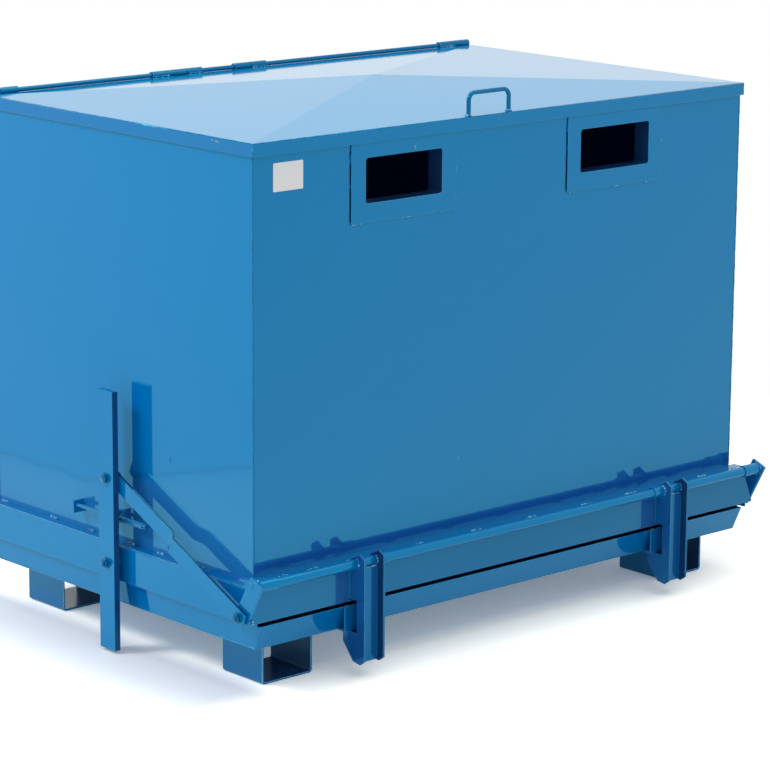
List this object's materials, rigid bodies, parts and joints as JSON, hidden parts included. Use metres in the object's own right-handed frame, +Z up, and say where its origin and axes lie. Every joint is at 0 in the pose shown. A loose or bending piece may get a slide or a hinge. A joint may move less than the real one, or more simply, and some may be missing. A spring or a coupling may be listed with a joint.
{
  "type": "bottom-emptying recycling container",
  "caption": "Large sheet-steel recycling box with hinged lid and letter slots, on a tray with fork feet, tipped about a front tube with hooks, side levers and links.",
  "frame": {"origin": "centre of the overall box in X and Y, on the floor", "axes": "+X along the long side to the right as seen from the slots, +Y from the slotted front to the back, +Z up"},
  "size_m": [1.9386, 1.269, 1.4951],
  "materials": {
    "blue_paint": "glossy blue enamel on sheet steel",
    "bolts": "painted over, slightly duller",
    "rods": "painted, worn satin"
  },
  "bodies": {
    "tray_frame": {"tray_floor": "blue_paint", "tray_sides": "blue_paint", "feet": "blue_paint", "keepers": "blue_paint", "front_beam": "blue_paint", "hook_plates": "blue_paint", "hook_webs": "blue_paint", "hook_ramps": "blue_paint", "hook_sleeves": "blue_paint", "left_end_plate": "blue_paint", "right_end_plate": "blue_paint", "end_sleeves": "blue_paint", "link_studs": "bolts"},
    "box": {"front_wall": "blue_paint", "back_wall": "blue_paint", "left_wall": "blue_paint", "right_wall": "blue_paint", "base_edge": "blue_paint", "left_skirt": "blue_paint", "right_skirt": "blue_paint", "back_skirt": "blue_paint", "rest_ledges": "blue_paint", "hinge_tube": "blue_paint", "tube_plugs": "blue_paint", "left_slot_frame": "blue_paint", "right_slot_frame": "blue_paint", "pivot_bolts": "bolts", "pivot_washers": "bolts", "rod_guides": "blue_paint", "body_knuckles": "blue_paint", "hinge_rod": "blue_paint"},
    "lid": {"lid_panel": "blue_paint", "lid_rims": "blue_paint", "lid_handle": "blue_paint", "lid_knuckles": "blue_paint"},
    "left_lever_arm": {"left_lever": "blue_paint", "left_lever_bolt": "bolts"},
    "right_lever_arm": {"right_lever": "blue_paint", "right_lever_bolt": "bolts"},
    "left_link_bar": {"left_link": "blue_paint"},
    "right_link_bar": {"right_link": "blue_paint"},
    "left_rod": {"left_lock_rod": "rods"},
    "right_rod": {"right_lock_rod": "rods"}
  },
  "joints": [
    {"name": "box_tip", "type": "hinge", "parent": "tray_frame", "child": "box", "pos_m": [0, -0.5965, 0.309], "axis": [1, 0, 0], "range_deg": [0, 35]},
    {"name": "lid_hinge", "type": "hinge", "parent": "box", "child": "lid", "pos_m": [0, 0.6045, 1.433], "axis": [-1, 0, 0], "range_deg": [0, 100]},
    {"name": "left_lever_turn", "type": "hinge", "parent": "box", "child": "left_lever_arm", "pos_m": [-0.949, 0.006, 0.247], "axis": [1, 0, 0], "range_deg": [0, 16.2]},
    {"name": "right_lever_turn", "type": "hinge", "parent": "box", "child": "right_lever_arm", "pos_m": [0.949, 0.006, 0.247], "axis": [1, 0, 0], "range_deg": [0, 16.2]},
    {"name": "left_link_turn", "type": "hinge", "parent": "tray_frame", "child": "left_link_bar", "pos_m": [-0.952, -0.5415, 0.221], "axis": [1, 0, 0], "range_deg": [0, 36.5]},
    {"name": "right_link_turn", "type": "hinge", "parent": "tray_frame", "child": "right_link_bar", "pos_m": [0.952, -0.5415, 0.221], "axis": [1, 0, 0], "range_deg": [0, 36.5]},
    {"name": "left_rod_slide", "type": "slide", "parent": "box", "child": "left_rod", "axis": [0, 1, 0], "range_m": [0, 0.03]},
    {"name": "right_rod_slide", "type": "slide", "parent": "box", "child": "right_rod", "axis": [0, 1, 0], "range_m": [0, 0.03]}
  ],
  "couplings": [
    {"joint": "left_lever_turn", "follows": "box_tip", "ratio": 0.45895},
    {"joint": "right_lever_turn", "follows": "box_tip", "ratio": 0.45895},
    {"joint": "left_link_turn", "follows": "box_tip", "ratio": 1.0335},
    {"joint": "right_link_turn", "follows": "box_tip", "ratio": 1.0335}
  ]
}
